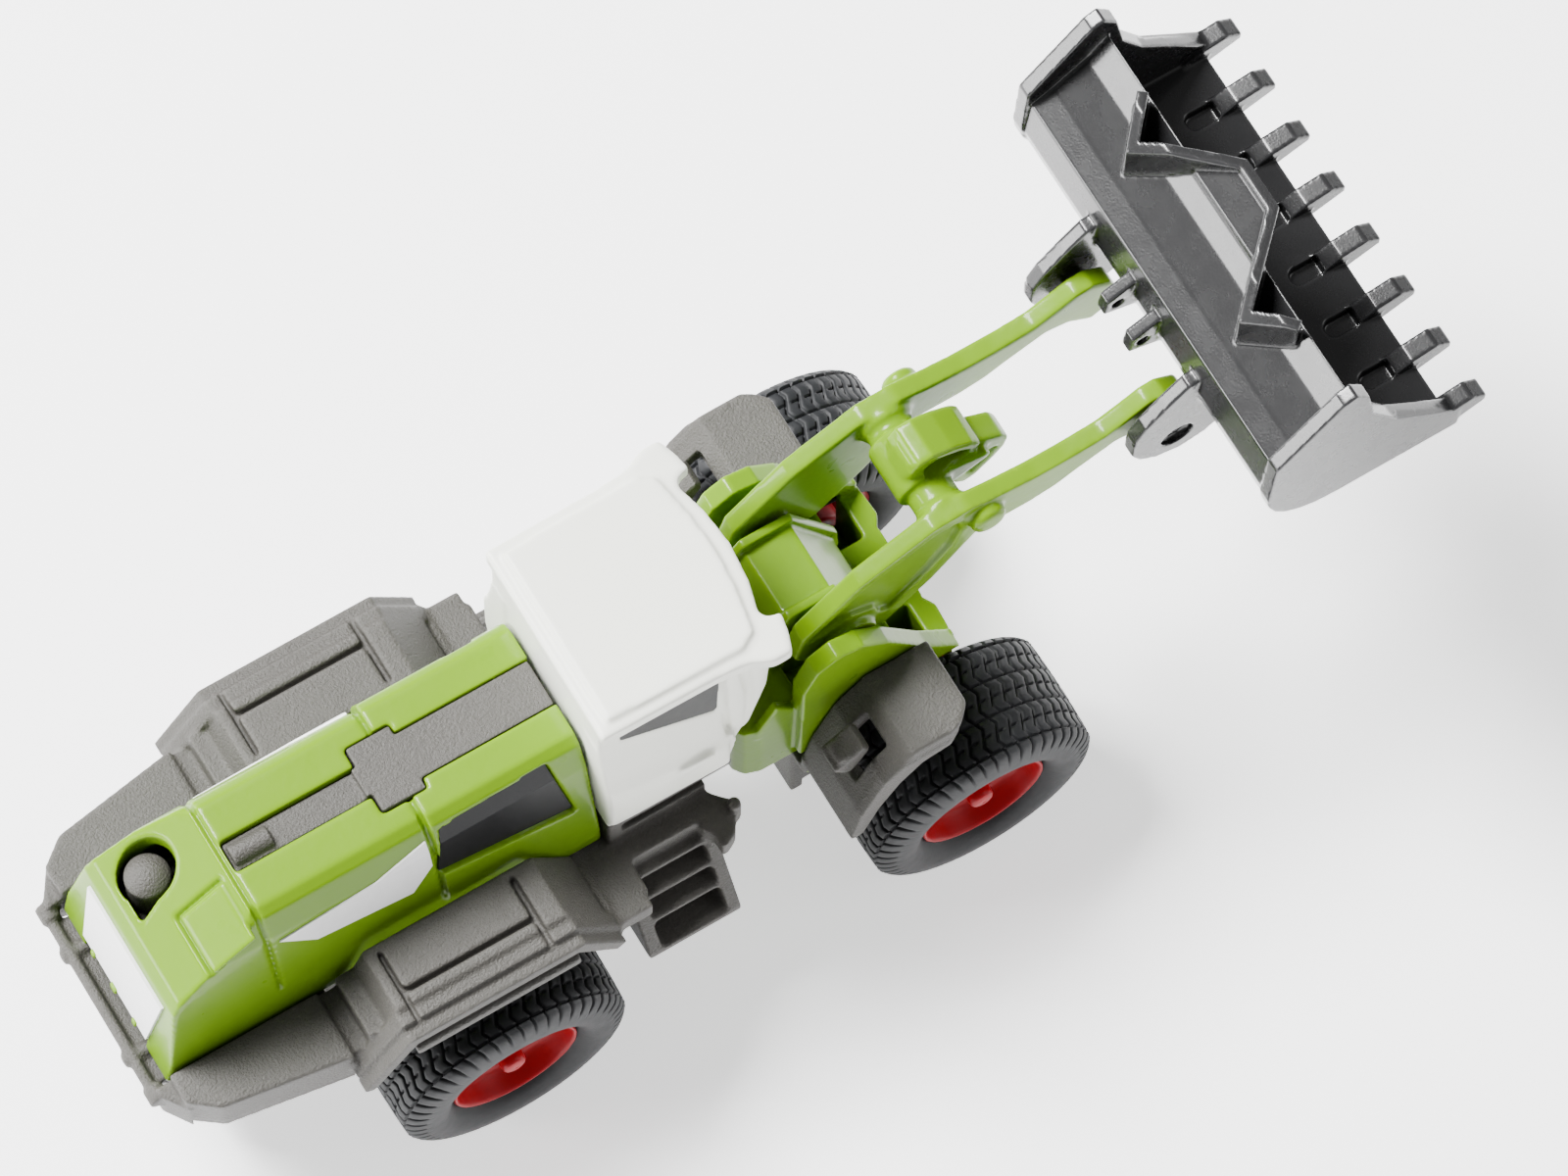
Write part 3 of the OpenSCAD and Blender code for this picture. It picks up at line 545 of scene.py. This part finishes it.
# cab moulding: thick soft roof, bulged doors, screen posts
cab = {"voxel": 0.16, "passes": 8, "paneVoxel": 0.12, "panePasses": 2,
       "doorEnds": [(12.2, "doorBack"), (21.8, "doorFront")],
       "core": (-7.3, 7.3, [(12.3, 23.2), (12.3, 39.6), (26.0, 39.6), (25.5, 32.4), (24.1, 26.6),
                            (22.7, 23.2)]),
       "doorBack": [(8.0, 23.2), (8.4, 23.6), (8.7, 25.4), (8.8, 29.4), (8.6, 30.8), (8.2, 32.0),
                    (7.6, 35.0), (7.35, 36.6), (5.5, 36.6), (5.5, 23.2)],
       "doorFront": [(8.0, 23.2), (8.4, 23.6), (8.7, 24.4), (8.8, 26.0), (8.6, 27.2), (8.2, 28.2),
                     (7.6, 30.6), (7.35, 31.6), (5.5, 31.6), (5.5, 23.2)],
       "roof": (39.3, 40.75, [(12.2, -7.9), (21.4, -8.0), (23.6, -8.2), (24.6, -8.7), (25.2, -8.95),
                              (26.5, -8.95), (27.0, -7.6), (27.3, -6.1), (26.2, -5.8), (26.0, -5.2),
                              (26.6, -3), (26.9, 0), (26.6, 3), (26.0, 5.2), (26.2, 5.8), (27.3, 6.1),
                              (27.0, 7.6), (26.5, 8.95), (25.2, 8.95), (24.6, 8.7), (23.6, 8.2),
                              (21.4, 8.0), (12.2, 7.9)]),
       "panel": (40.6, 41.15, [(13.2, -7.0), (23.6, -7.2), (24.9, -6.4), (25.5, -3), (25.7, 0),
                               (25.5, 3), (24.9, 6.4), (23.6, 7.2), (13.2, 7.0)]),
       "window": (6.5, 9.5, [(14.0, 38.9), (21.7, 38.9), (21.5, 32.0), (14.0, 36.6)]),
       "shutEdge": (7.0, 8.2, [(21.4, 23.6), (22.3, 24.8), (22.6, 26.6), (22.4, 28.0), (21.4, 28.6)]),
       "post": (7.0, 7.7, [(22.2, 33), (22.0, 39.4), (22.9, 39.4), (23.6, 33), (23.5, 28), (22.6, 25.4)]),
       "screenPost": (7.0, 7.65, [(24.0, 38.8), (25.7, 38.8), (25.3, 32.6), (24.0, 27.2), (23.3, 26.0),
                                  (24.4, 32)]),
       "grip": (8.6, 8.92, [(17.6, 27.6), (20.2, 27.4), (20.6, 28.0), (20.2, 28.5), (17.8, 28.7)]),
       "gutter": (41.02, 41.3, [(13.9, -6.3), (14.1, -6.3), (14.1, 6.3), (13.9, 6.3)]),
       "inside": (-6.4, 6.4, [(13.4, 22.6), (13.4, 38.2), (28, 38.2), (28, 27.8), (22.9, 27.8),
                              (21.6, 22.6)]),
       "sill": (8.2, 9.6, [(11.8, 22.6), (11.8, 25.2), (12.7, 23.8), (14, 23.1), (20.6, 23.1),
                           (21.8, 24), (23, 24.2), (23, 22.4)]),
       "shutLine": (8.55, 9.2, [(14.5, 23.4), (14.5, 30.6), (14.72, 30.6), (14.72, 23.4)]),
       "sidePane": (6.9, 7.2, [(13.4, 39.1), (22.1, 39.1), (21.9, 31.4), (13.4, 36.2)]),
       "screen": (-6.6, 6.6, [(25.2, 38.6), (25.5, 38.6), (25.0, 32.4), (23.7, 27.2), (23.4, 27.2),
                              (24.7, 32.4)])}


def addCab():
    c = cab
    solid = Solid()
    solid.prism("y", *c["core"])
    for side in (-1, 1):
        loops = [[(x, y * side, z) for y, z in c[end]] for x, end in c["doorEnds"]]
        solid.rings(loops)
        # rounded shut edge, then the posts in front of it
        solid.flank(side, *c["shutEdge"])
        solid.flank(side, *c["post"])
        solid.flank(side, *c["screenPost"])
        solid.flank(side, *c["grip"])
    solid.prism("z", *c["roof"])
    solid.prism("z", *c["panel"])
    cuts = Solid()
    cuts.pair(*c["window"])
    cuts.prism("z", *c["gutter"])
    cuts.prism("y", *c["inside"])
    for side in (-1, 1):
        cuts.flank(side, *c["sill"])
        cuts.flank(side, *c["shutLine"])
    mesh = cast("cab_moulded", solid, cuts, c["voxel"], c["passes"], "cab_plastic")
    addPiece("cab_moulded", mesh, "rear_body", "cab_plastic", "cab_shell", spot=(rearX, 0, 0))
    panes = Solid()
    panes.pair(*c["sidePane"])
    panes.prism("y", *c["screen"])
    mesh = cast("cab_panes", panes, None, c["paneVoxel"], c["panePasses"], "smoked_glazing")
    addPiece("cab_panes", mesh, "rear_body", "smoked_glazing", "cab_glazing", spot=(rearX, 0, 0))


# front mudguards: rounded corners, raised edge, sunk lamps
guards = {"voxel": 0.13, "passes": 9,
          "recess": (10.0, 12.8, [(28.4, 19.5), (31.2, 23.9), (32.6, 22.6), (30.6, 18.8)]),
          "lamp": (10.35, 12.45, [(29.5, 20.4), (30.9, 22.9), (30.2, 23.3), (29.0, 22.9), (28.6, 21.0)]),
          "lip": (13.9, 14.5, [(35.4, 24.0), (35.4, 24.34), (33, 24.22), (30.55, 21.85), (28.75, 17.6),
                               (27.98, 13.8), (28.3, 13.7), (29.2, 17.4), (31, 21.4), (33.2, 23.8)]),
          "lens": (10.55, 12.25, [(28.9, 20.9), (29.9, 23.1), (29.5, 23.5), (28.5, 23.2), (28.1, 21.3)]),
          "corner": (13, 26, [(38.5, 12.6), (38.0, 13.4), (37.2, 14.2), (36.3, 14.7), (35.2, 15.3),
                              (38.6, 15.3)]),
          "edge": (27, 39, [(14.45, 26), (14.75, 23.3), (15.2, 23.0), (15.2, 26)])}


def addGuards():
    g = guards
    solid = nodeSolid("front_mudguards")
    cuts, extra = Solid(), Solid()
    for side in (-1, 1):
        # lamp pocket, then a rounded outer front corner and a bevelled outer edge
        cuts.flank(side, *g["recess"])
        cuts.across("z", side, *g["corner"])
        cuts.across("x", side, *g["edge"])
        extra.flank(side, *g["lamp"])
        extra.flank(side, *g["lip"])
        extra.flank(side, *g["lens"])
    mesh = cast("front_mudguards_moulded", solid, cuts, g["voxel"], g["passes"], "dark_plastic", extra)
    addPiece("front_mudguards_moulded", mesh, "front_body", "dark_plastic", "front_mudguards",
             spot=(rearX, 0, 0))


# hood: eased casting with a raised lid, a crease along each side and catches below the rear plate
hood = {"voxel": 0.13, "passes": 10,
        "lid": (-5.9, -1.2, [(-17.2, 31.35), (-13.9, 33.65), (-13.7, 33.35), (-17.0, 31.05)]),
        "crease": (7.32, 7.8, [(-20, 22.6), (-2, 23.2), (-2, 23.42), (-20, 22.82)]),
        "outerCatch": (2.6, 3.2), "middleCatch": (-0.4, 0.4),
        "catch": [(-22.3, 20.4), (-22.75, 20.4), (-22.6, 21.2), (-22.1, 21.2)]}


def addHood():
    solid = nodeSolid("hood")
    cuts, extra = Solid(), Solid()
    extra.prism("y", *hood["lid"])
    for side in (-1, 1):
        cuts.flank(side, *hood["crease"])
        extra.flank(side, *hood["outerCatch"], hood["catch"])
    extra.prism("y", *hood["middleCatch"], hood["catch"])
    mesh = cast("hood_cast", solid, cuts, hood["voxel"], hood["passes"], "green_paint", extra)
    addPiece("hood_cast", mesh, "rear_body", "green_paint", "hood", spot=(rearX, 0, 0))


# rear moulding: soft edges, with a rim and channels on each mudguard
chassis = {"voxel": 0.15, "passes": 6,
           "channel": (24.3, 25.4, [(-6.3, 11.5), (4.2, 11.5), (4.2, 11.85), (-6.3, 11.85)]),
           "frontReturn": (8.3, 14.2, [(4.2, 24.2), (4.65, 24.2), (4.65, 25.4), (4.2, 25.4)]),
           "rearReturn": (8.3, 14.2, [(-6.3, 24.2), (-5.9, 24.2), (-5.9, 25.4), (-6.3, 25.4)]),
           "rim": (-6.9, 6.1, [(14.0, 22.3), (15.05, 22.0), (15.1, 21.1), (14.3, 21.0)])}


def addChassis():
    c = chassis
    solid = nodeSolid("rear_chassis")
    cuts, extra = Solid(), Solid()
    for side in (-1, 1):
        # channel inside the mudguard rim, with a return at both ends
        cuts.across("z", side, *c["channel"])
        cuts.flank(side, *c["frontReturn"])
        cuts.flank(side, *c["rearReturn"])
        extra.across("x", side, *c["rim"])
    mesh = cast("chassis_moulded", solid, cuts, c["voxel"], c["passes"], "dark_plastic", extra)
    addPiece("chassis_moulded", mesh, "rear_body", "dark_plastic", "rear_chassis", spot=(rearX, 0, 0))


addWheels()
print("wheels made")
addChassis()
addGuards()
addHood()
addArms()
print("arms made")
addCab()
print("cab made")


# studio: pale floor, a soft key from high on the left, a low strip that lights the bucket's back,
# a weak fill; each lamp has its place, the point it faces, its size and its power
studio = {"key": ((-0.22, 0.32, 0.60), (0, 0, 0), 0.28, 21),
          "strip": ((-0.72, 0.25, 0.20), (0.03, 0, 0.03), 0.24, 5.5),
          "fill": ((0.5, -0.35, 0.4), (0, 0, 0), 0.4, 1)}
skyStrength = 0.3
floorGlow = 1.1
# degrees, millimetres of lens, and metres from the rear axle
viewpoint = {"yaw": 32.2, "rise": 69.44, "roll": 1.31, "lens": 184.95,
             "place": (-0.0736, -0.1666, 0.5507)}


def makeFloor():
    s = Shader("pale_floor", Specular_IOR_Level=0.1, Emission_Color=rgb(1, 1, 1),
               Emission_Strength=floorGlow)
    where = s.place()
    cloud = s.noise(where, 0.05, 3)
    s.feed(Base_Color=s.mix(cloud * 0.5, rgb(0.96, 0.96, 0.965), rgb(0.94, 0.94, 0.95)),
           Roughness=0.6 + 0.1 * cloud, Normal=s.bump(s.noise(where, 2.0, 2), 0.00001))
    mesh = bpy.data.meshes.new("floor")
    bm = bmesh.new()
    bmesh.ops.create_grid(bm, x_segments=24, y_segments=24, size=1.5)
    bm.to_mesh(mesh)
    bm.free()
    floor = bpy.data.objects.new("floor", mesh)
    bpy.context.collection.objects.link(floor)
    floor.data.materials.append(s.material)


def makeLight(name, spot, aim, size, power):
    lamp = bpy.data.lights.new(name, "AREA")
    lamp.shape = "SQUARE"
    lamp.size = size
    lamp.energy = power
    obj = bpy.data.objects.new(name, lamp)
    bpy.context.collection.objects.link(obj)
    obj.location = spot
    obj.rotation_euler = (Vector(aim) - Vector(spot)).to_track_quat("-Z", "Y").to_euler()


def makeCamera():
    yaw, rise, roll = (math.radians(viewpoint[key]) for key in ("yaw", "rise", "roll"))
    right = Vector((math.cos(yaw), -math.sin(yaw), 0))
    back = Vector((-math.sin(yaw) * math.cos(rise), -math.cos(yaw) * math.cos(rise), math.sin(rise)))
    up = back.cross(right)
    level = right * math.cos(roll) + up * math.sin(roll)
    upright = up * math.cos(roll) - right * math.sin(roll)
    data = bpy.data.cameras.new("camera")
    data.lens = viewpoint["lens"]
    data.sensor_width = 36
    data.clip_start = 0.01
    camera = bpy.data.objects.new("camera", data)
    bpy.context.collection.objects.link(camera)
    axes = Matrix((level, upright, back)).transposed().to_4x4()
    x, y, z = viewpoint["place"]
    camera.matrix_world = Matrix.Translation((rearX + x, y, z)) @ axes
    bpy.context.scene.camera = camera


makeFloor()
for name, lamp in studio.items():
    makeLight(name, *lamp)
makeCamera()
world = bpy.data.worlds.new("studio")
world.use_nodes = True
world.node_tree.nodes["Background"].inputs["Color"].default_value = rgb(1, 1, 1)
world.node_tree.nodes["Background"].inputs["Strength"].default_value = skyStrength
bpy.context.scene.world = world
print("studio made")
